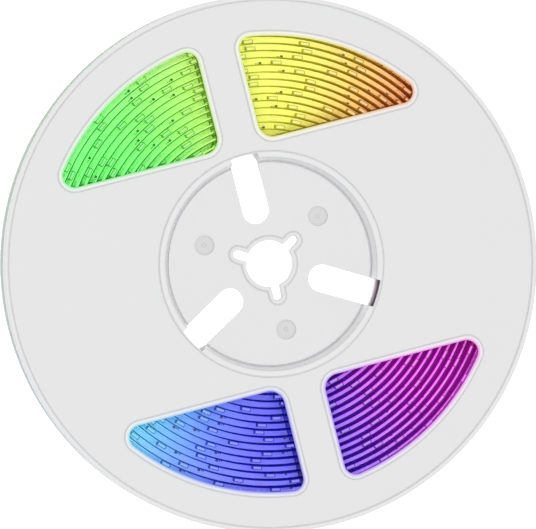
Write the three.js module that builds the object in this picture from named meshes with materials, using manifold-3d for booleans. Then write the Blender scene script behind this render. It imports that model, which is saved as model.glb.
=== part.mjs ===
// LED strip light reel: two moulded halves joined back to back, and five metres of wound LED strip.
// Millimetres. The reel lies on its back flange, with +Z along its axis and +Y along the spokes between
// the windows.

import * as THREE from 'three';
import { mergeVertices } from 'three/addons/utils/BufferGeometryUtils.js';
import Module from 'manifold-3d';

const wasm = await Module();
wasm.setup();

// LED strip
const stripWidth = 8;
const stripThickness = 0.35;
const ledPitch = 1000 / 60;
const ledCount = 300;
const ledLength = 2.8;
const ledWidth = 3.5;
const ledHeight = 0.8;
const windingPitch = 2.09;
const ledSeatMargin = 0.25;
const ledSink = 0.1;
const largestSag = 0.6;
const stripStartAngle = THREE.MathUtils.degToRad(100);

// Room beside the strip in its channel, and between its first turn and the drum
const stripSideRoom = 0.5;
const drumGap = 0.3;

// Flanges
const flangeRadius = 78.5;
const flangeThickness = 1.5;
const beadHeight = 0.3;
const beadWidth = 1.35;
const beadRound = 0.4;

// Windows in the flanges, in pairs on both sides of a spoke
const windowSill = 35.9;
const windowArcRadius = 66.6;
const spokeHalfWidth = 6.35;
const sillCornerRadius = 4.2;
const rimCornerRadius = 3.3;
const tipCornerRadius = 3.4;

// Hub
const mouthRadius = 32.9;
const mouthBeadWidth = 1.9;
const drumWall = 1.5;
const hubDraft = 0.9;
const floorThickness = 1.3;

// Arbor hole with three keyways
const arborRadius = 6.85;
const keyTipRadius = 11;
const keyWidth = 2.5;
const keyAngle = Math.PI / 6;
const arborLipWidth = 1.2;
const arborLipHeight = 0.3;

// Slots for the strip's inner end, which leave a thin ring of the mouth's bead
const slotWidth = 8;
const slotInnerRadius = 12.07;
const slotOuterRadius = 32.6;
const slotAngle = Math.PI / 2;

// Joint pins and their sockets
const pinCircleRadius = 19.9;
const pinRadius = 2.45;
const pinLength = 1;
const pinClearance = 0.3;
const dimpleRadius = 2.92;
const dimpleDepth = 0.5;
const pipRadius = 0.6;
const pipHeight = 0.25;

// How far a cut runs past the face it opens, and how deep an added piece stands in its body
const cutPast = 1;
const joinDepth = 0.3;

// Facets
const wheelFacets = 52;
const arcDivisions = 2;
const pinFacets = 12;

// Levels worked out from the sizes above, counted from the middle of the reel
const halfInside = stripWidth / 2 + stripSideRoom;
const flangeTop = halfInside + flangeThickness;
const beadTop = flangeTop + beadHeight;
const hubWallRadius = mouthRadius - mouthBeadWidth;
const drumRadius = hubWallRadius + drumWall;
const dimpleFloor = floorThickness - dimpleDepth;

const threefold = [0, 1, 2].map((step) => (step * 2 * Math.PI) / 3);

// A closed solid between stacked outlines that have the same number of points
function loft(levels) {
  const rows = levels.map(({ outline, z }) => outline.map((p) => [p.x, p.y, z]));
  const count = rows[0].length;
  const positions = rows.flat(2);
  const index = [];
  for (let row = 0; row < rows.length - 1; row += 1) {
    for (let i = 0; i < count; i += 1) {
      const here = row * count + i;
      const next = row * count + ((i + 1) % count);
      index.push(here, next, next + count);
      index.push(here, next + count, here + count);
    }
  }
  const lastRow = (rows.length - 1) * count;
  for (const [a, b, c] of THREE.ShapeUtils.triangulateShape(levels[0].outline, [])) {
    index.push(c, b, a);
  }
  for (const [a, b, c] of THREE.ShapeUtils.triangulateShape(levels[levels.length - 1].outline, [])) {
    index.push(lastRow + a, lastRow + b, lastRow + c);
  }
  const geometry = new THREE.BufferGeometry();
  geometry.setAttribute('position', new THREE.Float32BufferAttribute(positions, 3));
  geometry.setIndex(index);
  return geometry;
}

function toSolid(geometry) {
  const bare = geometry.clone();
  bare.deleteAttribute('normal');
  bare.deleteAttribute('uv');
  const merged = mergeVertices(bare, 1e-4);
  const vertProperties = new Float32Array(merged.attributes.position.array);
  const triVerts = new Uint32Array(merged.index.array);
  return new wasm.Manifold(new wasm.Mesh({ numProp: 3, vertProperties, triVerts }));
}

function toGeometry(solid) {
  const { vertProperties, triVerts } = solid.getMesh();
  const geometry = new THREE.BufferGeometry();
  geometry.setAttribute('position', new THREE.Float32BufferAttribute(vertProperties, 3));
  geometry.setIndex(new THREE.BufferAttribute(triVerts, 1));
  return geometry;
}

function outlineOf(path) {
  const points = path.getPoints(arcDivisions);
  const first = points[0];
  const apart = (p, q) => p.distanceTo(q) > 1e-6;
  return points.filter((p, i) => i === 0 || (apart(p, points[i - 1]) && apart(p, first)));
}

function turned(outline, angle) {
  const centre = new THREE.Vector2(0, 0);
  return outline.map((p) => p.clone().rotateAround(centre, angle));
}

// One window beside the spoke, its edge set back by `grow` all round
function windowOutline(grow) {
  const spokeSide = spokeHalfWidth - grow;
  const sill = windowSill - grow;
  const arc = windowArcRadius + grow;
  const sillCorner = sillCornerRadius + grow;
  const rimCorner = rimCornerRadius + grow;
  const tipCorner = tipCornerRadius + grow;

  // The fillet between spoke and sill touches both lines
  const sillCentre = new THREE.Vector2(spokeSide + sillCorner, sill + sillCorner);

  // The fillet between spoke and rim touches the spoke's side and the arc
  const rimX = spokeSide + rimCorner;
  const rimCentre = new THREE.Vector2(rimX, Math.sqrt((arc - rimCorner) ** 2 - rimX ** 2));

  // The fillet at the tip touches the arc and the sill
  const tipY = sill + tipCorner;
  const tipCentre = new THREE.Vector2(Math.sqrt((arc - tipCorner) ** 2 - tipY ** 2), tipY);

  const path = new THREE.Path();
  path.absarc(sillCentre.x, sillCentre.y, sillCorner, -Math.PI / 2, Math.PI, true);
  path.absarc(rimCentre.x, rimCentre.y, rimCorner, Math.PI, rimCentre.angle(), true);
  const arcMiddle = (rimCentre.angle() + tipCentre.angle()) / 2;
  path.absarc(0, 0, arc, rimCentre.angle(), arcMiddle, true);
  path.absarc(0, 0, arc, arcMiddle, tipCentre.angle(), true);
  path.absarc(tipCentre.x, tipCentre.y, tipCorner, tipCentre.angle(), -Math.PI / 2, true);
  return outlineOf(path).reverse();
}

// The four windows are the first one turned and mirrored over the spoke
function windowOutlines(grow) {
  const right = windowOutline(grow);
  const left = right.map((p) => new THREE.Vector2(-p.x, p.y)).reverse();
  return [right, left, turned(right, Math.PI), turned(left, Math.PI)];
}

function slotOutline(angle) {
  const half = slotWidth / 2;
  const end = Math.asin(half / slotOuterRadius);
  const path = new THREE.Path();
  path.absarc(0, 0, slotOuterRadius, -end, end, false);
  path.absarc(slotInnerRadius + half, 0, half, Math.PI / 2, (3 * Math.PI) / 2, false);
  return turned(outlineOf(path), angle);
}

function arborOutline(grow) {
  const radius = arborRadius + grow;
  const half = keyWidth / 2 + grow;
  const keyCentre = keyTipRadius - keyWidth / 2;
  const gap = Math.asin(half / radius);
  const path = new THREE.Path();
  for (const step of threefold) {
    const key = step + keyAngle;
    const centre = new THREE.Vector2(keyCentre, 0).rotateAround(new THREE.Vector2(), key);
    path.absarc(centre.x, centre.y, half, key - Math.PI / 2, key + Math.PI / 2, false);
    path.absarc(0, 0, radius, key + gap, key + (2 * Math.PI) / 3 - gap, false);
  }
  return outlineOf(path);
}

function disc(radius, bottom, top, angle) {
  const height = top - bottom;
  const geometry = new THREE.CylinderGeometry(radius, radius, height, pinFacets);
  geometry.rotateX(Math.PI / 2);
  geometry.translate(pinCircleRadius, 0, (bottom + top) / 2);
  geometry.rotateZ(angle);
  return geometry;
}

// One moulding with its outer face up and its hub floor on the middle plane
function moulding() {
  const profile = [
    [0, 0],
    [drumRadius, 0],
    [drumRadius, halfInside],
    [flangeRadius, halfInside],
    [flangeRadius, beadTop - beadRound],
    [flangeRadius - beadRound, beadTop],
    [flangeRadius - beadWidth, beadTop],
    [flangeRadius - beadWidth, flangeTop],
    [mouthRadius, flangeTop],
    [mouthRadius, beadTop],
    [hubWallRadius + beadRound, beadTop],
    [hubWallRadius, beadTop - beadRound],
    [hubWallRadius - hubDraft, floorThickness],
    [0, floorThickness],
  ];
  const body = new THREE.LatheGeometry(profile.map(([x, y]) => new THREE.Vector2(x, y)), wheelFacets);
  body.rotateX(Math.PI / 2);
  let solid = toSolid(body);

  for (const beadOutline of windowOutlines(beadWidth)) {
    const bead = loft([
      { outline: beadOutline, z: flangeTop - joinDepth },
      { outline: beadOutline, z: beadTop },
    ]);
    solid = solid.add(toSolid(bead));
  }
  const wide = windowOutlines(beadRound);
  windowOutlines(0).forEach((edge, i) => {
    const cut = loft([
      { outline: edge, z: halfInside - cutPast },
      { outline: edge, z: beadTop - beadRound },
      { outline: wide[i], z: beadTop },
      { outline: wide[i], z: beadTop + cutPast },
    ]);
    solid = solid.subtract(toSolid(cut));
  });

  const lipTop = floorThickness + arborLipHeight;
  const lip = arborOutline(arborLipWidth);
  const hole = arborOutline(0);
  const joinLevel = floorThickness - joinDepth;
  solid = solid.add(toSolid(loft([{ outline: lip, z: joinLevel }, { outline: lip, z: lipTop }])));
  const holeTop = lipTop + cutPast;
  solid = solid.subtract(toSolid(loft([{ outline: hole, z: -cutPast }, { outline: hole, z: holeTop }])));

  for (const step of threefold) {
    const slot = slotOutline(step + slotAngle);
    const cut = loft([{ outline: slot, z: -cutPast }, { outline: slot, z: beadTop + cutPast }]);
    solid = solid.subtract(toSolid(cut));
  }
  return solid;
}

// The dimples and pins stand in line with the keyways
function withPins(solid) {
  let joined = solid;
  for (const step of threefold) {
    const angle = step + keyAngle;
    joined = joined.subtract(toSolid(disc(dimpleRadius, dimpleFloor, floorThickness + cutPast, angle)));
    joined = joined.add(toSolid(disc(pipRadius, dimpleFloor - joinDepth, dimpleFloor + pipHeight, angle)));
    joined = joined.add(toSolid(disc(pinRadius, -pinLength, joinDepth, angle)));
  }
  return joined;
}

function withSockets(solid) {
  let joined = solid;
  for (const step of threefold) {
    const socket = disc(pinRadius + pinClearance, -cutPast, floorThickness + cutPast, step + keyAngle);
    joined = joined.subtract(toSolid(socket));
  }
  return joined;
}

// The strip is wound in a spiral, with each LED on a flat seat of its own
function woundStrip() {
  const origin = new THREE.Vector2(0, 0);
  const seatLength = ledLength + 2 * ledSeatMargin;
  const bareLength = ledPitch - seatLength;
  const chordsAt = (radius) => Math.ceil(bareLength / Math.sqrt(8 * radius * largestSag));
  const firstSag = (bareLength / chordsAt(drumRadius)) ** 2 / (8 * drumRadius);
  const startRadius = drumRadius + drumGap + firstSag + stripThickness / 2;
  const radiusAt = (angle) => startRadius + (windingPitch * angle) / (2 * Math.PI);
  const stations = [0];
  const seats = [];
  const advance = (length) => {
    const angle = stations[stations.length - 1];
    stations.push(angle + length / radiusAt(angle));
  };
  for (let led = 0; led < ledCount; led += 1) {
    seats.push(stations.length - 1);
    advance(seatLength);
    const chords = chordsAt(radiusAt(stations[stations.length - 1]));
    for (let chord = 0; chord < chords; chord += 1) {
      advance(bareLength / chords);
    }
  }
  const pointAt = (angle) => new THREE.Vector2(radiusAt(angle), 0).rotateAround(origin, angle);
  const centreLine = stations.map(pointAt);
  const outward = centreLine.map((point, i) => {
    const before = centreLine[Math.max(i - 1, 0)];
    const after = centreLine[Math.min(i + 1, centreLine.length - 1)];
    const along = after.clone().sub(before).normalize();
    return new THREE.Vector2(along.y, -along.x);
  });
  const side = (offset) => centreLine.map((point, i) => point.clone().addScaledVector(outward[i], offset));
  const outerSide = side(stripThickness / 2);
  const innerSide = side(-stripThickness / 2);
  let solid = toSolid(ribbon(outerSide, innerSide, stripWidth));

  for (const seat of seats) {
    const from = outerSide[seat];
    const to = outerSide[seat + 1];
    const angle = to.clone().sub(from).angle();
    const led = new THREE.BoxGeometry(ledLength, ledHeight + ledSink, ledWidth);
    led.translate(0, -(ledHeight - ledSink) / 2, 0);
    led.rotateZ(angle);
    led.translate((from.x + to.x) / 2, (from.y + to.y) / 2, 0);
    solid = solid.add(toSolid(led));
  }
  return solid;
}

// A closed ribbon between its outer and its inner side, with a joint across it at each station
function ribbon(outerSide, innerSide, width) {
  const count = outerSide.length;
  const corners = [];
  for (let i = 0; i < count; i += 1) {
    const outer = outerSide[i];
    const inner = innerSide[i];
    corners.push(outer.x, outer.y, -width / 2, outer.x, outer.y, width / 2);
    corners.push(inner.x, inner.y, width / 2, inner.x, inner.y, -width / 2);
  }
  const index = [0, 1, 2, 0, 2, 3];
  for (let i = 0; i < count - 1; i += 1) {
    for (let corner = 0; corner < 4; corner += 1) {
      const here = 4 * i + corner;
      const next = 4 * i + ((corner + 1) % 4);
      index.push(here, here + 4, next + 4, here, next + 4, next);
    }
  }
  const last = 4 * (count - 1);
  index.push(last, last + 2, last + 1, last, last + 3, last + 2);
  const geometry = new THREE.BufferGeometry();
  geometry.setAttribute('position', new THREE.Float32BufferAttribute(corners, 3));
  geometry.setIndex(index);
  return geometry;
}

// A named piece at the level of the reel's middle plane
function piece(name, solid, look) {
  const mesh = new THREE.Mesh(toGeometry(solid), new THREE.MeshStandardMaterial(look));
  mesh.name = name;
  mesh.position.z = beadTop;
  return mesh;
}

const reelPlastic = { color: 0xe9e9ea, roughness: 0.5, metalness: 0 };
const stripBoard = { color: 0xb9f07a, roughness: 0.6, metalness: 0 };

const frontHalf = piece('front_half', withPins(moulding()), reelPlastic);

const backHalf = piece('back_half', withSockets(moulding()), reelPlastic);
backHalf.rotation.y = Math.PI;

const ledStrip = piece('led_strip', woundStrip(), stripBoard);
ledStrip.rotation.z = stripStartAngle;

const reel = new THREE.Group();
reel.add(frontHalf, backHalf, ledStrip);

export default reel;
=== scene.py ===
"""Looks of the LED strip light reel: fine mouldings, the wound strip, materials, floor, light and camera."""

import math

import bmesh
import bpy
from mathutils import Matrix, Vector
from mathutils.kdtree import KDTree


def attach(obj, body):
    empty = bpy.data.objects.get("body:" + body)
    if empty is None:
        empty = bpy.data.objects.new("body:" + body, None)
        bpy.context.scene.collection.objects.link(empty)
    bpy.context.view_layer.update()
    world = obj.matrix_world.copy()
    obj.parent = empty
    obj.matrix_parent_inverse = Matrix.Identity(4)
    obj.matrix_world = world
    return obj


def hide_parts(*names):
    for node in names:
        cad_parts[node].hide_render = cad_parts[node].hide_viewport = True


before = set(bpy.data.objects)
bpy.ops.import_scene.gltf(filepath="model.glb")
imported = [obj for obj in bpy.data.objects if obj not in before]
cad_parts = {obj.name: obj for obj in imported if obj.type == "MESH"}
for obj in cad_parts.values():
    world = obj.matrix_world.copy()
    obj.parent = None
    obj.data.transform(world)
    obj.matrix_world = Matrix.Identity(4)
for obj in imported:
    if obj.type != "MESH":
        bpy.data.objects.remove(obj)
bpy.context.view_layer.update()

# Metres in a millimetre
MM = 0.001

# Driving sizes of the reel, in millimetres
FLANGE_RADIUS = 78.5
FLANGE_THICKNESS = 1.5
BEAD_HEIGHT = 0.3
BEAD_WIDTH = 1.35
WINDOW_SILL = 35.9
WINDOW_ARC_RADIUS = 66.6
SPOKE_HALF_WIDTH = 6.35
SILL_CORNER = 4.2
RIM_CORNER = 3.3
TIP_CORNER = 3.4
MOUTH_RADIUS = 32.9
MOUTH_BEAD_WIDTH = 1.9
DRUM_WALL = 1.5
HUB_DRAFT = 0.9
HUB_FLOOR = 1.3
ARBOR_RADIUS = 6.85
KEY_TIP_RADIUS = 11.0
KEY_WIDTH = 2.5
KEY_ANGLE = math.pi / 6
ARBOR_LIP_WIDTH = 1.2
ARBOR_LIP_HEIGHT = 0.3
SLOT_WIDTH = 8.0
SLOT_INNER_RADIUS = 12.07
SLOT_OUTER_RADIUS = 32.6
SLOT_ANGLE = math.pi / 2
PIN_CIRCLE_RADIUS = 19.9
PIN_RADIUS = 2.45
PIN_LENGTH = 1.0
PIN_CLEARANCE = 0.3
DIMPLE_RADIUS = 2.92
DIMPLE_DEPTH = 0.5
PIP_RADIUS = 0.6
PIP_HEIGHT = 0.25

# The wound strip
STRIP_WIDTH = 8.0
STRIP_THICKNESS = 0.35
STRIP_SIDE_ROOM = 0.5
STRIP_START = math.radians(100)
WINDING_PITCH = 2.09
FIRST_RADIUS = 33.2
LED_PITCH = 1000 / 60
LED_COUNT = 300
LED_LENGTH = 2.8
LED_WIDTH = 3.5
LED_HEIGHT = 1.1
LED_SEAT_MARGIN = 0.25
CHIP_OFFSET = 5.3

# Board faces beyond the first radius get a painted glow of their own, and those within the second a painted
# shade
LAST_TURN_FROM = 64.3
FIRST_TURN_TO = 34.4

# Fine edges that the solids leave out
CREASE_DEPTH = 0.25
CREASE_WIDTH = 0.4
CREASE_FLOOR = CREASE_WIDTH * 0.4
HUB_CREASE_DEPTH = 0.55
HUB_CREASE_FLOOR = CREASE_WIDTH * 0.6
WINDOW_CROWN = BEAD_HEIGHT * 0.9
WINDOW_EDGE_ROUND = 0.55
INNER_RIM_ROUND = 0.25
BEAD_EDGE_ROUND = 0.6
MOUTH_ROUND_END = 176
LIP_ROUND = 0.2
LIP_SHOULDER = 0.12
PIP_ROUND = 0.2

# How far a cut runs past the face it opens, and how deep an added piece stands in its body
CUT_PAST = 1.0
PIP_SINK = 0.3
PIN_SINK = 0.2

# Levels and radii worked out from the sizes above; levels count from the middle of the reel
HALF_INSIDE = STRIP_WIDTH / 2 + STRIP_SIDE_ROOM
FLANGE_TOP = HALF_INSIDE + FLANGE_THICKNESS
BEAD_TOP = FLANGE_TOP + BEAD_HEIGHT
STRIP_MIDDLE = BEAD_TOP
DIMPLE_FLOOR = HUB_FLOOR - DIMPLE_DEPTH
LIP_TOP = HUB_FLOOR + ARBOR_LIP_HEIGHT
WALL_TOP_RADIUS = MOUTH_RADIUS - MOUTH_BEAD_WIDTH
WALL_FOOT_RADIUS = WALL_TOP_RADIUS - HUB_DRAFT
DRUM_RADIUS = WALL_TOP_RADIUS + DRUM_WALL

# How far the strip's light, painted into the plastic, reaches round a window, and how finely its edge is
# sampled
LIGHT_REACH = 1.7
LIGHT_STEP = 0.3

# Fineness of the round stretches, and the angle in degrees that still shades smooth
WHEEL_STEPS = 240
PIN_STEPS = 32
ARC_STEPS = 10
RIM_STEPS = 30
ROUND_STEPS = 5
BOARD_STEP = math.radians(3)
PATH_STEP = math.radians(2)
SMOOTH_BELOW = 40

THIRDS = [step * 2 * math.pi / 3 for step in range(3)]
QUARTER_TURN = [math.pi / 2 * step / ROUND_STEPS for step in range(ROUND_STEPS + 1)]


def arc(centre, radius, start, end, steps):
    return [
        (centre[0] + radius * math.cos(start + (end - start) * i / steps),
         centre[1] + radius * math.sin(start + (end - start) * i / steps))
        for i in range(steps + 1)
    ]


def turned(outline, angle):
    c, s = math.cos(angle), math.sin(angle)
    return [(c * x - s * y, s * x + c * y) for x, y in outline]


def window_outline(grow):
    """The right-hand upper window, its edge set back by grow all round, anticlockwise."""
    side = SPOKE_HALF_WIDTH - grow
    sill = WINDOW_SILL - grow
    rim = WINDOW_ARC_RADIUS + grow
    sill_corner, rim_corner, tip_corner = SILL_CORNER + grow, RIM_CORNER + grow, TIP_CORNER + grow
    sill_centre = (side + sill_corner, sill + sill_corner)
    rim_x = side + rim_corner
    rim_centre = (rim_x, math.sqrt((rim - rim_corner) ** 2 - rim_x ** 2))
    tip_y = sill + tip_corner
    tip_centre = (math.sqrt((rim - tip_corner) ** 2 - tip_y ** 2), tip_y)
    rim_angle = math.atan2(rim_centre[1], rim_centre[0])
    tip_angle = math.atan2(tip_centre[1], tip_centre[0])
    return (
        arc(tip_centre, tip_corner, -math.pi / 2, tip_angle, ARC_STEPS)
        + arc((0, 0), rim, tip_angle, rim_angle, RIM_STEPS)[1:-1]
        + arc(rim_centre, rim_corner, rim_angle, math.pi, ARC_STEPS)
        + arc(sill_centre, sill_corner, math.pi, 3 * math.pi / 2, ARC_STEPS)
    )


def window_outlines(grow):
    right = window_outline(grow)
    left = [(-x, y) for x, y in reversed(right)]
    return [right, left, turned(right, math.pi), turned(left, math.pi)]


def slot_outline(angle):
    half = SLOT_WIDTH / 2
    end = math.asin(half / SLOT_OUTER_RADIUS)
    outline = arc((0, 0), SLOT_OUTER_RADIUS, -end, end, ARC_STEPS)
    outline += arc((SLOT_INNER_RADIUS + half, 0), half, math.pi / 2, 3 * math.pi / 2, 2 * ARC_STEPS)
    return turned(outline, angle)


def arbor_outline(grow):
    """The round hole with its three keyways, its edge set back by grow all round."""
    radius, half = ARBOR_RADIUS + grow, KEY_WIDTH / 2 + grow
    reach = KEY_TIP_RADIUS - KEY_WIDTH / 2
    gap = math.asin(half / radius)
    outline = []
    for step in THIRDS:
        key = step + KEY_ANGLE
        centre = (reach * math.cos(key), reach * math.sin(key))
        outline += arc(centre, half, key - math.pi / 2, key + math.pi / 2, ARC_STEPS)
        outline += arc((0, 0), radius, key + gap, key + 2 * math.pi / 3 - gap, ARC_STEPS)
    return outline


def pin_centres():
    return [
        (PIN_CIRCLE_RADIUS * math.cos(step + KEY_ANGLE), PIN_CIRCLE_RADIUS * math.sin(step + KEY_ANGLE))
        for step in THIRDS
    ]


def new_object(name, shape):
    """A mesh object at the origin, from a bmesh in millimetres."""
    bmesh.ops.scale(shape, vec=(MM, MM, MM), verts=shape.verts)
    mesh = bpy.data.meshes.new(name)
    shape.to_mesh(mesh)
    shape.free()
    item = bpy.data.objects.new(name, mesh)
    bpy.context.scene.collection.objects.link(item)
    return item


def loft(shape, rows):
    """A closed body between stacked outlines with the same number of points; rows are (outline, z)."""
    rings = [[shape.verts.new((x, y, z)) for x, y in outline] for outline, z in rows]
    for low, high in zip(rings, rings[1:]):
        for i in range(len(low)):
            j = (i + 1) % len(low)
            shape.faces.new((low[i], low[j], high[j], high[i]))
    shape.faces.new(list(reversed(rings[0])))
    shape.faces.new(rings[-1])


def lathe(shape, profile):
    """Turns a profile of (radius, z) points, which starts and ends on the axis, round the Z axis."""
    first = shape.verts.new((0, 0, profile[0][1]))
    last = shape.verts.new((0, 0, profile[-1][1]))
    rings = [
        [shape.verts.new((x, y, z)) for x, y in arc((0, 0), r, 0, 2 * math.pi, WHEEL_STEPS)[:-1]]
        for r, z in profile[1:-1]
    ]
    for i in range(WHEEL_STEPS):
        j = (i + 1) % WHEEL_STEPS
        shape.faces.new((first, rings[0][j], rings[0][i]))
        for low, high in zip(rings, rings[1:]):
            shape.faces.new((low[i], low[j], high[j], high[i]))
        shape.faces.new((last, rings[-1][i], rings[-1][j]))


def cylinder(shape, centre, radius, bottom, top, edge=0.0):
    side = arc(centre, radius, 0, 2 * math.pi, PIN_STEPS)[:-1]
    crown = arc(centre, radius - edge, 0, 2 * math.pi, PIN_STEPS)[:-1]
    shoulder = [(side, top - edge)] if edge else []
    loft(shape, [(side, bottom)] + shoulder + [(crown, top)])


def boolean(item, shape, operation):
    """Joins a bmesh in millimetres to an object, or cuts it out of it."""
    tool = new_object("tool", shape)
    modifier = item.modifiers.new(operation.lower(), "BOOLEAN")
    modifier.operation = operation
    modifier.solver = "EXACT"
    modifier.object = tool
    bpy.context.view_layer.update()
    evaluated = item.evaluated_get(bpy.context.evaluated_depsgraph_get())
    mesh = bpy.data.meshes.new_from_object(evaluated)
    item.modifiers.clear()
    item.data = mesh
    bpy.data.objects.remove(tool)


# The two mouldings


def window_bead(i):
    """Rows of a window's bead: up from inside the flange, over a round crown."""
    rows = [(window_outlines(BEAD_WIDTH)[i], FLANGE_TOP - FLANGE_THICKNESS / 2)]
    for turn in QUARTER_TURN:
        grow = BEAD_WIDTH - WINDOW_CROWN * (1 - math.cos(turn))
        rows.append((window_outlines(grow)[i], FLANGE_TOP + BEAD_HEIGHT * math.sin(turn)))
    return rows


def window_cut(i):
    """Rows of a window's cut, which rounds its upper edge."""
    radius = WINDOW_EDGE_ROUND
    rows = [(window_outlines(0)[i], -CUT_PAST)]
    for turn in QUARTER_TURN:
        grow = radius * (1 - math.cos(turn))
        rows.append((window_outlines(grow)[i], BEAD_TOP - radius + radius * math.sin(turn)))
    rows.append((window_outlines(radius)[i], BEAD_TOP + CUT_PAST))
    return rows


def round_profile(centre, radius, start, end):
    return arc(centre, radius, math.radians(start), math.radians(end), ROUND_STEPS)


def crease(radius, towards):
    """The fine groove at the foot of a round bead."""
    return [
        (radius, FLANGE_TOP - CREASE_DEPTH),
        (radius + towards * CREASE_FLOOR, FLANGE_TOP - CREASE_DEPTH),
        (radius + towards * CREASE_WIDTH, FLANGE_TOP),
    ]


def turned_half(name):
    """The flange and its rim bead, the mouth's bead, the drafted wall and the hub floor, as one body."""
    inner_corner = (FLANGE_RADIUS - INNER_RIM_ROUND, HALF_INSIDE + INNER_RIM_ROUND)
    outer_corner = (FLANGE_RADIUS - BEAD_EDGE_ROUND, BEAD_TOP - BEAD_EDGE_ROUND)
    mouth_corner = (WALL_TOP_RADIUS + BEAD_EDGE_ROUND, BEAD_TOP - BEAD_EDGE_ROUND)
    rim_foot = FLANGE_RADIUS - BEAD_WIDTH
    hub_crease_level = HUB_FLOOR - HUB_CREASE_DEPTH
    profile = [(0, 0), (DRUM_RADIUS, 0), (DRUM_RADIUS, HALF_INSIDE)]
    profile += round_profile(inner_corner, INNER_RIM_ROUND, -90, 0)
    profile += round_profile(outer_corner, BEAD_EDGE_ROUND, 0, 90)
    profile += round_profile((rim_foot + BEAD_HEIGHT, FLANGE_TOP), BEAD_HEIGHT, 90, 180)
    profile += crease(rim_foot, -1)
    profile += crease(MOUTH_RADIUS, 1)[::-1]
    profile += round_profile((MOUTH_RADIUS - BEAD_HEIGHT, FLANGE_TOP), BEAD_HEIGHT, 0, 90)
    profile += round_profile(mouth_corner, BEAD_EDGE_ROUND, 90, MOUTH_ROUND_END)
    profile += [
        (WALL_FOOT_RADIUS, hub_crease_level),
        (WALL_FOOT_RADIUS - HUB_CREASE_FLOOR, hub_crease_level),
        (WALL_FOOT_RADIUS - CREASE_WIDTH, HUB_FLOOR),
        (0, HUB_FLOOR),
    ]
    same_point = 1e-4
    clean = [profile[0]]
    for point in profile[1:]:
        if math.dist(point, clean[-1]) > same_point:
            clean.append(point)
    body = bmesh.new()
    lathe(body, clean)
    return new_object(name, body)


def crease_grooves():
    """Fine grooves round the feet of the window beads and of the arbor hole's lip."""
    shape = bmesh.new()
    feet = [(outlines, FLANGE_TOP) for outlines in zip(
        window_outlines(BEAD_WIDTH + CREASE_FLOOR), window_outlines(BEAD_WIDTH + CREASE_WIDTH))]
    lip_foot = (arbor_outline(ARBOR_LIP_WIDTH + CREASE_FLOOR), arbor_outline(ARBOR_LIP_WIDTH + CREASE_WIDTH))
    for (inner, outer), level in feet + [(lip_foot, HUB_FLOOR)]:
        loft(shape, [(inner, level - CREASE_DEPTH), (outer, level), (outer, level + CUT_PAST)])
    return shape


def beads_and_lip():
    shape = bmesh.new()
    for i in range(4):
        loft(shape, window_bead(i))
    lip, lip_crown = arbor_outline(ARBOR_LIP_WIDTH), arbor_outline(ARBOR_LIP_WIDTH - LIP_ROUND)
    loft(shape, [(lip, HUB_FLOOR / 2), (lip, HUB_FLOOR + LIP_SHOULDER), (lip_crown, LIP_TOP)])
    return shape


def holes(has_pins):
    """The windows, the arbor hole, the strip slots, and a dimple over each pin or a socket for it."""
    shape = bmesh.new()
    for i in range(4):
        loft(shape, window_cut(i))
    hole, hole_edge = arbor_outline(0), arbor_outline(LIP_ROUND)
    loft(shape, [
        (hole, -CUT_PAST),
        (hole, LIP_TOP - LIP_ROUND),
        (hole_edge, LIP_TOP),
        (hole_edge, LIP_TOP + CUT_PAST),
    ])
    for step in THIRDS:
        slot = slot_outline(step + SLOT_ANGLE)
        loft(shape, [(slot, -CUT_PAST), (slot, BEAD_TOP + CUT_PAST)])
    for centre in pin_centres():
        if has_pins:
            cylinder(shape, centre, DIMPLE_RADIUS, DIMPLE_FLOOR, HUB_FLOOR + CUT_PAST)
        else:
            cylinder(shape, centre, PIN_RADIUS + PIN_CLEARANCE, -CUT_PAST, HUB_FLOOR + CUT_PAST)
    return shape


def pins_and_pips():
    shape = bmesh.new()
    for centre in pin_centres():
        cylinder(shape, centre, PIP_RADIUS, DIMPLE_FLOOR - PIP_SINK, DIMPLE_FLOOR + PIP_HEIGHT, PIP_ROUND)
        cylinder(shape, centre, PIN_RADIUS, -PIN_LENGTH, DIMPLE_FLOOR - PIN_SINK)
    return shape


def moulding(name, has_pins):
    """One half of the reel with its outer face up and its hub floor on the middle plane."""
    half = turned_half(name)
    boolean(half, crease_grooves(), "DIFFERENCE")
    boolean(half, beads_and_lip(), "UNION")
    boolean(half, holes(has_pins), "DIFFERENCE")
    if has_pins:
        boolean(half, pins_and_pips(), "UNION")
    return half


def place(item, flip):
    """Moves a half to its height, turned over for the back one, with its place in its mesh."""
    turn = Matrix.Rotation(math.pi, 4, "Y") if flip else Matrix.Identity(4)
    item.data.transform(Matrix.Translation((0, 0, BEAD_TOP * MM)) @ turn)


def shade_dimples(item):
    """Painted shade: the thin plastic over the joint pins is painted greyer."""
    margin = 0.1
    top = (BEAD_TOP + HUB_FLOOR - margin) * MM
    for face in item.data.polygons:
        x, y, z = face.center
        near = min(math.dist((x, y), (cx * MM, cy * MM)) for cx, cy in pin_centres())
        if near < (DIMPLE_RADIUS + margin) * MM and top - DIMPLE_DEPTH * MM < z < top:
            face.material_index = 1


def mark_window_light(item):
    """How much of the strip's light is painted into the plastic: 1 on a window's edge, 0 past its bead's
    foot.
    """
    samples = []
    for outline in window_outlines(0):
        for here, there in zip(outline, outline[1:] + outline[:1]):
            parts = math.ceil(math.dist(here, there) / LIGHT_STEP)
            samples += [Vector((*here, 0)).lerp(Vector((*there, 0)), i / parts) for i in range(parts)]
    edge = KDTree(len(samples))
    for i, sample in enumerate(samples):
        edge.insert(sample * MM, i)
    edge.balance()
    distances = [edge.find((v.co.x, v.co.y, 0))[2] / MM for v in item.data.vertices]
    mark = item.data.attributes.new("window_light", "FLOAT", "POINT")
    mark.data.foreach_set("value", [max(0, 1 - distance / LIGHT_REACH) for distance in distances])


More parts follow.
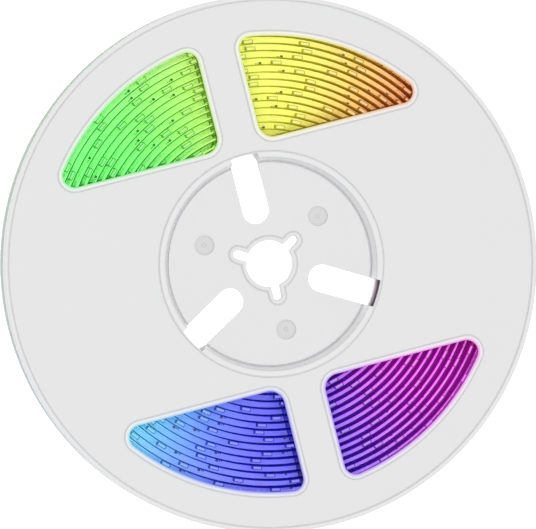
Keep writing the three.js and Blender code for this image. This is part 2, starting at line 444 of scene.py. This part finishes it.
def smooth(item, degrees):
    """Round stretches shade smooth, flat faces stay flat."""
    shape = bmesh.new()
    shape.from_mesh(item.data)
    bmesh.ops.remove_doubles(shape, verts=shape.verts, dist=1e-6)
    bmesh.ops.recalc_face_normals(shape, faces=shape.faces)
    limit = math.radians(degrees)
    for face in shape.faces:
        face.smooth = True
    for edge in shape.edges:
        edge.smooth = len(edge.link_faces) == 2 and edge.calc_face_angle() < limit
    shape.to_mesh(item.data)
    shape.free()
    weighted = item.modifiers.new("weighted normals", "WEIGHTED_NORMAL")
    weighted.keep_sharp = True
    weighted.weight = 100


# Materials

# Where on the reel, in degrees, each full colour of the strip's light lies
RAINBOW = (
    (6.7, (1, 0, 0)),
    (71.7, (1, 1, 0)),
    (134.7, (0, 1, 0)),
    (198.7, (0, 1, 1)),
    (254.7, (0, 0, 1)),
    (313.7, (1, 0, 1)),
)
DISPLAY_GAMMA = 2.2

# Greys are a trace bluer than neutral
BLUE_OF_GREY = 1.01

# Spans of height and radius, in millimetres, over which the tones of the reel's plastic fade in or out
BEAD_FADE = (FLANGE_TOP + 0.03, FLANGE_TOP + 0.2)
WINDOW_BEADS_IN = (MOUTH_RADIUS + 0.6, MOUTH_RADIUS + 1.1)
WINDOW_BEADS_OUT = (WINDOW_ARC_RADIUS + 3.4, WINDOW_ARC_RADIUS + 2.4)
WALL_IN = (WALL_FOOT_RADIUS - 0.15, WALL_FOOT_RADIUS + 0.05)
WALL_OUT = (WALL_TOP_RADIUS + 0.05, WALL_TOP_RADIUS - 0.05)
WALL_UP = (HUB_FLOOR + 0.3, HUB_FLOOR + 0.7)
WALL_DOWN = (FLANGE_TOP - 0.1, FLANGE_TOP - 0.4)
CHANNEL_FADE = (HALF_INSIDE + 0.1, HALF_INSIDE + 0.02)
COIL_IN = (DRUM_RADIUS + 0.5, DRUM_RADIUS + 0.9)
COIL_OUT = (WINDOW_ARC_RADIUS + 4.4, WINDOW_ARC_RADIUS + 1.9)
LIT_RING_IN = (WINDOW_ARC_RADIUS - 0.3, WINDOW_ARC_RADIUS - 0.1)
LIT_RING_OUT = (WINDOW_ARC_RADIUS + 0.95, WINDOW_ARC_RADIUS + 0.75)
BELOW_BEAD_FADE = (FLANGE_TOP - 0.15, FLANGE_TOP - 0.35)
# Across this span of x the strip's glow fades to a painted shade under the spokes
SPOKE_FADE = (SPOKE_HALF_WIDTH - 0.3, SPOKE_HALF_WIDTH + 0.1)

# Grey levels of the painted light on the hub's wall and of the painted shade in the channel, and how much
# brighter the painted highlight makes the window beads
WALL_LIGHT_TONE = 0.88
CHANNEL_SHADE_TONE = 0.13
WINDOW_BEAD_HIGHLIGHT_GAIN = 1.12

# The strip's light painted into the plastic round a window, the painted shade of the walls below the beads,
# and the painted glow of the edges and of the lit ring; colours are (saturation, value) of the rainbow
LEAK_FALLOFF = 1.6
LEAK_SHARE = 0.73
LEAK_COLOUR = (0.52, 0.9)
EDGE_FADE = (0.8, 1.0)
EDGE_SHADE = (0.8, 0.3)
EDGE_GLOW_SHARE = 0.3
EDGE_GLOW = (0.35, 0.85)
RING_GLOW = (0.5, 0.88)

# Mottle and grain of the plastic
FLOW_SCALE = 60
FLOW_DETAIL = 4
GLOSS_SPAN = (0.42, 0.54)
GRAIN_SCALE = 2500
GRAIN_STRENGTH = 0.05
GRAIN_DEPTH = 0.0001


class Paint:
    """A new material and short ways to add nodes to it."""

    def __init__(self, name):
        self.material = bpy.data.materials.new(name)
        self.material.use_nodes = True
        self.nodes = self.material.node_tree.nodes
        self.links = self.material.node_tree.links
        self.shader = self.nodes["Principled BSDF"]
        self.position = self.nodes.new("ShaderNodeTexCoord").outputs["Object"]

    def feed(self, socket, value):
        """Gives an input a number or another node's output."""
        if isinstance(value, (int, float)):
            socket.default_value = value
        else:
            self.links.new(value, socket)

    def give(self, label, value):
        self.feed(self.shader.inputs[label], value)

    def axes(self):
        apart = self.nodes.new("ShaderNodeSeparateXYZ")
        self.links.new(self.position, apart.inputs["Vector"])
        return apart.outputs

    def noise(self, scale):
        node = self.nodes.new("ShaderNodeTexNoise")
        node.inputs["Scale"].default_value = scale
        self.links.new(self.position, node.inputs["Vector"])
        return node

    def math(self, operation, *values):
        node = self.nodes.new("ShaderNodeMath")
        node.operation = operation
        for socket, value in zip(node.inputs, values):
            self.feed(socket, value)
        return node.outputs[0]

    def blend(self, factor, a, b):
        """A colour between a and b, each a socket or a grey level."""
        mix = self.nodes.new("ShaderNodeMix")
        mix.data_type = "RGBA"
        self.links.new(factor, mix.inputs["Factor"])
        for socket, value in ((mix.inputs[6], a), (mix.inputs[7], b)):
            if isinstance(value, (int, float)):
                socket.default_value = (value, value, value * BLUE_OF_GREY, 1)
            else:
                self.links.new(value, socket)
        return mix.outputs[2]

    def ramp(self, value, span, unit=MM):
        """0 at the first end of the span, and beyond it, to 1 at the second; either end may be the larger."""
        low, high = span
        share = self.nodes.new("ShaderNodeMapRange")
        share.interpolation_type = "SMOOTHSTEP"
        share.inputs["From Min"].default_value = min(low, high) * unit
        share.inputs["From Max"].default_value = max(low, high) * unit
        share.inputs["To Min"].default_value = 0 if low < high else 1
        share.inputs["To Max"].default_value = 1 if low < high else 0
        self.links.new(value, share.inputs["Value"])
        return share.outputs["Result"]

    def band(self, value, fade_in, fade_out):
        return self.math("MULTIPLY", self.ramp(value, fade_in), self.ramp(value, fade_out))

    def rainbow(self, saturation, value):
        """The colour of the strip's light runs once round the reel; used as a base colour it is that light
        painted on, bright or dark. Saturation and value are those of the shown colour.
        """
        first_angle, first_colour = RAINBOW[0]
        axes = self.axes()
        turn = self.math("MULTIPLY", self.math("ARCTAN2", axes["Y"], axes["X"]), 1 / (2 * math.pi))
        share = self.math("FRACT", self.math("ADD", turn, 1 - first_angle / 360))
        ramp = self.nodes.new("ShaderNodeValToRGB")
        ramp.color_ramp.interpolation = "EASE"
        stops = ramp.color_ramp.elements
        for i, (degrees, colour) in enumerate(RAINBOW + ((first_angle + 360, first_colour),)):
            position = (degrees - first_angle) / 360
            stop = stops[i] if i < 2 else stops.new(position)
            stop.position = position
            stop.color = [value * (1 - saturation * (1 - part)) for part in colour] + [1]
        self.links.new(share, ramp.inputs["Fac"])
        linear = self.nodes.new("ShaderNodeGamma")
        linear.inputs["Gamma"].default_value = DISPLAY_GAMMA
        self.links.new(ramp.outputs["Color"], linear.inputs["Color"])
        return linear.outputs["Color"]


def reel_plastic(name, dark, light, bead):
    """Pale moulded polystyrene: a faint flow mottle, fine grain, a painted highlight on the beads, painted
    light on the hub's wall and round the windows, and painted shade in the channel.
    """
    paint = Paint(name)
    flow = paint.noise(FLOW_SCALE)
    flow.inputs["Detail"].default_value = FLOW_DETAIL
    tone = paint.blend(flow.outputs["Fac"], dark, light)

    # Level from the middle plane, and radius from the axis
    axes = paint.axes()
    level = paint.math("ABSOLUTE", paint.math("SUBTRACT", axes["Z"], BEAD_TOP * MM))
    squares = [paint.math("MULTIPLY", axes[label], axes[label]) for label in ("X", "Y")]
    radius = paint.math("SQRT", paint.math("ADD", *squares))

    # Painted highlight on the beads, painted light on the hub's wall, and painted shade in the channel with a
    # painted lit ring past the last turn
    at_window = paint.band(radius, WINDOW_BEADS_IN, WINDOW_BEADS_OUT)
    bead_highlight = paint.blend(at_window, bead, bead * WINDOW_BEAD_HIGHLIGHT_GAIN)
    tone = paint.blend(paint.ramp(level, BEAD_FADE), tone, bead_highlight)
    # Painted light on the hub's wall
    on_wall = paint.math(
        "MULTIPLY", paint.band(radius, WALL_IN, WALL_OUT), paint.band(level, WALL_UP, WALL_DOWN))
    tone = paint.blend(on_wall, tone, WALL_LIGHT_TONE)
    # Painted shade in the winding channel, left out on a painted lit ring past the last turn
    inside = paint.ramp(level, CHANNEL_FADE)
    in_ring = paint.band(radius, LIT_RING_IN, LIT_RING_OUT)
    shaded = paint.math("MULTIPLY", inside, paint.band(radius, COIL_IN, COIL_OUT))
    shaded = paint.math("MULTIPLY", shaded, paint.math("SUBTRACT", 1, in_ring))
    tone = paint.blend(shaded, tone, CHANNEL_SHADE_TONE)

    # Round the windows the strip's coloured light is painted into the plastic, and the walls below the beads
    # get a painted shade
    light_mark = paint.nodes.new("ShaderNodeAttribute")
    light_mark.attribute_name = "window_light"
    near = light_mark.outputs["Fac"]
    leak = paint.math("MULTIPLY", paint.math("POWER", near, LEAK_FALLOFF), LEAK_SHARE)
    tone = paint.blend(leak, tone, paint.rainbow(*LEAK_COLOUR))
    at_edge = paint.ramp(near, EDGE_FADE, unit=1)
    in_shade = paint.math("MULTIPLY", at_edge, paint.ramp(level, BELOW_BEAD_FADE))
    tone = paint.blend(in_shade, tone, paint.rainbow(*EDGE_SHADE))
    paint.give("Base Color", tone)
    # Painted glow on the window edges above the shade, and on the lit ring past the last turn
    lit_edge = paint.math("MULTIPLY", paint.math("SUBTRACT", at_edge, in_shade), EDGE_GLOW_SHARE)
    glow = paint.blend(lit_edge, 0.0, paint.rainbow(*EDGE_GLOW))
    glow = paint.blend(paint.math("MULTIPLY", inside, in_ring), glow, paint.rainbow(*RING_GLOW))
    paint.give("Emission Color", glow)
    paint.give("Emission Strength", 1)

    gloss = paint.nodes.new("ShaderNodeMapRange")
    gloss.inputs["To Min"].default_value, gloss.inputs["To Max"].default_value = GLOSS_SPAN
    paint.links.new(flow.outputs["Fac"], gloss.inputs["Value"])
    paint.give("Roughness", gloss.outputs["Result"])
    bump = paint.nodes.new("ShaderNodeBump")
    bump.inputs["Strength"].default_value = GRAIN_STRENGTH
    bump.inputs["Distance"].default_value = GRAIN_DEPTH
    paint.links.new(paint.noise(GRAIN_SCALE).outputs["Fac"], bump.inputs["Height"])
    paint.give("Normal", bump.outputs["Normal"])
    return paint.material


def tinted(name, base, roughness, glow=None, strength=0.0, specular=0.5, spokes_shade=False):
    """A strip material; base and glow are (saturation, value) of the strip's light, so the base paints that
    coloured light onto the part. With spokes_shade its glow is off under the spokes, a painted shade.
    """
    paint = Paint(name)
    paint.give("Specular IOR Level", specular)
    paint.give("Base Color", paint.rainbow(*base))
    if glow:
        paint.give("Emission Color", paint.rainbow(*glow))
    paint.give("Emission Strength", strength)
    # Painted shade: no glow under the spokes
    if spokes_shade:
        clear = paint.ramp(paint.math("ABSOLUTE", paint.axes()["X"]), SPOKE_FADE)
        paint.give("Emission Strength", paint.math("MULTIPLY", clear, strength))
    paint.give("Roughness", roughness)
    return paint.material


# The wound strip


def spiral_radius(angle):
    return FIRST_RADIUS + WINDING_PITCH * angle / (2 * math.pi)


def advance(angle, length):
    return angle + length / spiral_radius(angle + length / spiral_radius(angle) / 2)


def strip_end():
    angle = 0.0
    for _ in range(LED_COUNT):
        angle = advance(angle, LED_PITCH)
    return angle


# The board's faces by material: its four sides, the last turn's outer face and the first turn's inner one
FACE_OUT, EDGE_TOP, FACE_IN, EDGE_LOW, FACE_LAST_TURN, FACE_FIRST_TURN = range(6)


def strip_board(materials):
    """The flexible board: a thin ribbon on edge, with a face out, a face in and two cut edges."""
    end = strip_end()
    steps = round(end / BOARD_STEP)
    shape = bmesh.new()
    rings = []
    low, high = STRIP_MIDDLE - STRIP_WIDTH / 2, STRIP_MIDDLE + STRIP_WIDTH / 2
    for i in range(steps + 1):
        angle = end * i / steps
        c, s = math.cos(angle + STRIP_START), math.sin(angle + STRIP_START)
        inner = spiral_radius(angle) - STRIP_THICKNESS / 2
        outer = spiral_radius(angle) + STRIP_THICKNESS / 2
        corners = ((outer, low), (outer, high), (inner, high), (inner, low))
        rings.append([shape.verts.new((r * c, r * s, z)) for r, z in corners])
    shape.faces.new(rings[0])
    shape.faces.new(list(reversed(rings[-1])))
    for before, after in zip(rings, rings[1:]):
        for side in (FACE_OUT, EDGE_TOP, FACE_IN, EDGE_LOW):
            here, there = side, (side + 1) % 4
            face = shape.faces.new((before[here], after[here], after[there], before[there]))
            face.material_index = side
            face.smooth = side in (FACE_OUT, FACE_IN)
    bmesh.ops.recalc_face_normals(shape, faces=shape.faces)
    # The last turn's outer faces get a painted glow, the first turn's inner faces a painted shade
    for face in shape.faces:
        distance = math.hypot(*face.calc_center_median().xy)
        if face.material_index == FACE_OUT and distance > LAST_TURN_FROM:
            face.material_index = FACE_LAST_TURN
        if face.material_index == FACE_IN and distance < FIRST_TURN_TO:
            face.material_index = FACE_FIRST_TURN
    board = new_object("strip_board", shape)
    for each in materials:
        board.data.materials.append(each)
    return board


def strip_path():
    """The outer side of the board's middle line, as a curve in metres."""
    end = strip_end()
    steps = round(end / PATH_STEP)
    curve = bpy.data.curves.new("strip_path", "CURVE")
    curve.dimensions = "3D"
    line = curve.splines.new("POLY")
    line.points.add(steps)
    for i, point in enumerate(line.points):
        angle = end * i / steps
        radius = spiral_radius(angle) + STRIP_THICKNESS / 2
        x, y = radius * math.cos(angle + STRIP_START), radius * math.sin(angle + STRIP_START)
        point.co = (x * MM, y * MM, STRIP_MIDDLE * MM, 1)
    path = bpy.data.objects.new("strip_path", curve)
    bpy.context.scene.collection.objects.link(path)
    return path


def repeat_along(name, path, pattern, made, start, pitch, count):
    """Copies of a pattern at a fixed pitch along a path, each turned to the path, as one plain mesh."""
    settings = (
        ("Path", "NodeSocketObject", path),
        ("Pattern", "NodeSocketObject", pattern),
        ("Start", "NodeSocketFloat", start * MM),
        ("End", "NodeSocketFloat", (start + pitch * (count - 1)) * MM),
        ("Count", "NodeSocketInt", count),
        ("Material", "NodeSocketMaterial", made),
    )
    tree = bpy.data.node_groups.new(name, "GeometryNodeTree")
    sockets = [
        tree.interface.new_socket(label, in_out="INPUT", socket_type=kind).identifier
        for label, kind, _ in settings
    ]
    tree.interface.new_socket("Geometry", in_out="OUTPUT", socket_type="NodeSocketGeometry")
    given, result, route, shape, trim, spread, tangent, align, copies, real, paint = (
        tree.nodes.new(kind) for kind in (
            "NodeGroupInput", "NodeGroupOutput", "GeometryNodeObjectInfo", "GeometryNodeObjectInfo",
            "GeometryNodeTrimCurve", "GeometryNodeResampleCurve", "GeometryNodeInputTangent",
            "FunctionNodeAlignRotationToVector", "GeometryNodeInstanceOnPoints",
            "GeometryNodeRealizeInstances", "GeometryNodeSetMaterial"))
    trim.mode = "LENGTH"
    align.axis = "X"
    align.pivot_axis = "Z"

    # The trim node's start and end as lengths go by number, because their names also stand for shares
    trim_start, trim_end = 4, 5
    for source, output, target, entry in (
            (given, "Path", route, "Object"),
            (given, "Pattern", shape, "Object"),
            (route, "Geometry", trim, "Curve"),
            (given, "Start", trim, trim_start),
            (given, "End", trim, trim_end),
            (trim, "Curve", spread, "Curve"),
            (given, "Count", spread, "Count"),
            (spread, "Curve", copies, "Points"),
            (shape, "Geometry", copies, "Instance"),
            (tangent, "Tangent", align, "Vector"),
            (align, "Rotation", copies, "Rotation"),
            (copies, "Instances", real, "Geometry"),
            (real, "Geometry", paint, "Geometry"),
            (given, "Material", paint, "Material"),
            (paint, "Geometry", result, "Geometry")):
        tree.links.new(source.outputs[output], target.inputs[entry])

    carrier = new_object(name, bmesh.new())
    modifier = carrier.modifiers.new(name, "NODES")
    modifier.node_group = tree
    for socket, (_, _, value) in zip(sockets, settings):
        modifier[socket] = value
    bpy.context.view_layer.update()
    evaluated = carrier.evaluated_get(bpy.context.evaluated_depsgraph_get())
    mesh = bpy.data.meshes.new_from_object(evaluated)
    bpy.data.objects.remove(carrier)
    bpy.data.objects.remove(pattern)
    return mesh


def block(shape, x, y, z, chamfer=0.0):
    """A box between pairs of x, y and z; its edges along the board's width may be chamfered."""
    (x0, x1), (y0, y1) = x, y
    outline = [(x0, y0), (x1, y0), (x1, y1), (x0, y1)]
    if chamfer:
        left, right, near, far = x0 + chamfer, x1 - chamfer, y0 + chamfer, y1 - chamfer
        outline = [
            (left, y0), (right, y0), (x1, near), (x1, far),
            (right, y1), (left, y1), (x0, far), (x0, near),
        ]
    loft(shape, [(outline, level) for level in z])


def pattern_of(name, blocks):
    shape = bmesh.new()
    for each in blocks:
        block(shape, *each)
    return new_object(name, shape)


def join_meshes(name, meshes):
    """One object from several meshes, which keep their materials."""
    whole = bmesh.new()
    materials = []
    for mesh in meshes:
        first = len(whole.faces)
        whole.from_mesh(mesh)
        whole.faces.ensure_lookup_table()
        base = len(materials)
        for face in whole.faces[first:]:
            face.material_index += base
        materials.extend(mesh.materials)
    mesh = bpy.data.meshes.new(name)
    whole.to_mesh(mesh)
    whole.free()
    for each in materials:
        mesh.materials.append(each)
    item = bpy.data.objects.new(name, mesh)
    bpy.context.scene.collection.objects.link(item)
    return item


# The pieces

plastic = reel_plastic("reel_plastic", dark=0.68, light=0.71, bead=0.72)
# The dimples' greyer plastic is painted shade
dimple_shade_plastic = reel_plastic("reel_plastic_dimple_shade", dark=0.59, light=0.64, bead=0.72)
for node, is_front in (("front_half", True), ("back_half", False)):
    half = moulding(node + "_moulding", has_pins=is_front)
    place(half, flip=not is_front)
    smooth(half, SMOOTH_BELOW)
    mark_window_light(half)
    half.data.materials.clear()
    half.data.materials.append(plastic)
    half.data.materials.append(dimple_shade_plastic)
    shade_dimples(half)
    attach(half, "root")
    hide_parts(node)

# In the order of the board's faces
board = strip_board([
    # The face's base is the strip's coloured light painted on, and its glow painted light, turned off under
    # the spokes as painted shade
    tinted("strip_face", (0.3, 0.7), 0.5, (0.49, 0.94), 1.0, spokes_shade=True),
    # The top edge is painted dark in the strip's colour: painted shade
    tinted("strip_top_edge", (0.93, 0.6), 0.6, specular=0.1),
    # The backing is painted dark in the strip's colour: painted shade in coloured light
    tinted("strip_backing", (0.97, 0.46), 0.7, specular=0.05),
    # The lower edge's strong glow is painted light, which lights the floor between the turns
    tinted("strip_lower_edge", (0.9, 0.9), 0.6, (0.66, 1.0), 6.7),
    # The last turn's face has a painted glow of its own
    tinted("strip_face_last_turn", (0.4, 0.8), 0.5, (0.5, 0.95), 0.75),
    # The first turn's inner face is painted near black: painted shade
    tinted("strip_backing_first_turn", (0.3, 0.1), 0.7, specular=0.05),
])
# The frames are painted darker than the cases, a painted shade that draws the LEDs' outlines, with a faint
# painted glow
led_frame = tinted("led_frame", (0.85, 0.62), 0.5, (0.85, 0.7), 0.15)
# The cases' glow is painted light, off under the spokes as painted shade
led_case = tinted("led_case", (0.5, 0.3), 0.5, (0.46, 0.95), 0.9, spokes_shade=True)
# The lenses glow as the LEDs' lamps, off under the spokes as painted shade
led_lens = tinted("led_lens", (0.4, 0.7), 0.25, (0.52, 0.95), 1.0, spokes_shade=True)
# The resistors and solder take the strip's coloured light painted into their colours
chip = tinted("resistor_chip", (1.0, 0.35), 0.4)
solder = tinted("solder", (0.9, 0.6), 0.3)

# Blocks of each pattern: spans along the strip, out from it as negative, and across it, and a chamfer
half_led, half_width = LED_LENGTH / 2, LED_WIDTH / 2
frame_block = ((-half_led, half_led), (-LED_HEIGHT, 0), (-half_width, half_width), 0.06)
case_wall, case_reach = 0.24, 0.03
case_block = (
    (-half_led + case_wall, half_led - case_wall),
    (-LED_HEIGHT + 0.2, -0.16),
    (-half_width - case_reach, half_width + case_reach),
)
lens_block = ((-1.1, 1.1), (-LED_HEIGHT - 0.02, -LED_HEIGHT + 0.1), (-1.4, 1.4), 0.02)
chip_block = ((-0.95, -0.2), (-0.65, 0), (-0.4, 0.4), 0.04)
solder_blocks = [(along, (-0.4, 0), (-0.45, 0.45)) for along in ((0.05, 0.35), (0.6, 0.9))]

first_led = LED_LENGTH / 2 + LED_SEAT_MARGIN
each_led = (first_led, LED_PITCH, LED_COUNT)
every_other_led = (first_led + CHIP_OFFSET, 2 * LED_PITCH, LED_COUNT // 2)
path = strip_path()
meshes = [board.data]
for name, blocks, made, spacing in (
        ("led_frames", [frame_block], led_frame, each_led),
        ("led_cases", [case_block], led_case, each_led),
        ("led_lenses", [lens_block], led_lens, each_led),
        ("resistors", [chip_block], chip, every_other_led),
        ("solder_joints", solder_blocks, solder, every_other_led)):
    meshes.append(repeat_along(name, path, pattern_of(name + "_pattern", blocks), made, *spacing))
bpy.data.objects.remove(path)
bpy.data.objects.remove(board)
strip = join_meshes("wound_strip", meshes)
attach(strip, "root")
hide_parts("led_strip")

# Floor, which glows within the hub and outside the flange only: painted light that keeps the hub's holes and
# the backdrop white
FLOOR_HALF_SIZE = 3000
PAPER_GREY = 0.6
PAPER_ROUGHNESS = 0.9
PAPER_GLOW = 0.93
LIT_IN_HUB = (34, 31)
LIT_OUTSIDE = (70, 80)

floor_shape = bmesh.new()
bmesh.ops.create_grid(floor_shape, x_segments=1, y_segments=1, size=FLOOR_HALF_SIZE)
floor = new_object("floor", floor_shape)
paper = Paint("floor_paper")
paper.shader.inputs["Base Color"].default_value = (PAPER_GREY, PAPER_GREY, PAPER_GREY, 1)
paper.shader.inputs["Emission Color"].default_value = (1, 1, 1, 1)
paper.give("Roughness", PAPER_ROUGHNESS)
from_axis = paper.nodes.new("ShaderNodeVectorMath")
from_axis.operation = "LENGTH"
paper.links.new(paper.position, from_axis.inputs[0])
shares = [paper.ramp(from_axis.outputs["Value"], span) for span in (LIT_IN_HUB, LIT_OUTSIDE)]
lit_paper = paper.math("ADD", *shares)
paper.give("Emission Strength", paper.math("MULTIPLY", lit_paper, PAPER_GLOW))
floor.data.materials.append(paper.material)

# Studio light: an even white surround and a large soft box overhead, in metres and watts
WORLD_STRENGTH = 0.66
SOFTBOX_SIZE = 1.9
SOFTBOX_HEIGHT = 2.6
SOFTBOX_POWER = 33

world = bpy.data.worlds.new("studio")
bpy.context.scene.world = world
world.use_nodes = True
background = world.node_tree.nodes["Background"]
background.inputs["Color"].default_value = (1, 1, 1, 1)
background.inputs["Strength"].default_value = WORLD_STRENGTH
bpy.context.scene.view_settings.view_transform = "Standard"

softbox = bpy.data.lights.new("softbox", "AREA")
softbox.shape = "SQUARE"
softbox.size = SOFTBOX_SIZE
softbox.energy = SOFTBOX_POWER
softbox_item = bpy.data.objects.new("softbox", softbox)
softbox_item.location = (0, 0, SOFTBOX_HEIGHT)
bpy.context.scene.collection.objects.link(softbox_item)

# Camera, as the photograph was taken; REEL_OFFSET is in pixels, right and up from the middle of the frame
PHOTO_WIDTH = 536
MM_PER_PIXEL = 0.2917
ROLL = math.radians(14.3)
TILT = math.radians(7.4)
TILT_TOWARDS = math.radians(170) - ROLL
CAMERA_DISTANCE = 2.0
REEL_OFFSET = (3.6, 0.5)
SENSOR_WIDTH = 36
FARTHEST_SEEN = 20

image_right = Vector((math.cos(-ROLL), math.sin(-ROLL), 0))
image_up = Vector((math.sin(ROLL), math.cos(ROLL), 0))
target = Vector((0, 0, (BEAD_TOP + FLANGE_TOP) * MM))
target -= (image_right * REEL_OFFSET[0] + image_up * REEL_OFFSET[1]) * MM_PER_PIXEL * MM
aside = Vector((math.cos(TILT_TOWARDS), math.sin(TILT_TOWARDS), 0))
away = aside * math.sin(TILT) + Vector((0, 0, math.cos(TILT)))
side = image_up.cross(away).normalized()
camera_data = bpy.data.cameras.new("camera")
camera_data.sensor_width = SENSOR_WIDTH
camera_data.lens = SENSOR_WIDTH * CAMERA_DISTANCE / (PHOTO_WIDTH * MM_PER_PIXEL * MM)
camera_data.clip_end = FARTHEST_SEEN
camera = bpy.data.objects.new("camera", camera_data)
camera.matrix_world = Matrix.Translation(target + away * CAMERA_DISTANCE) @ Matrix(
    (side, away.cross(side), away)).transposed().to_4x4()
bpy.context.scene.collection.objects.link(camera)
bpy.context.scene.camera = camera
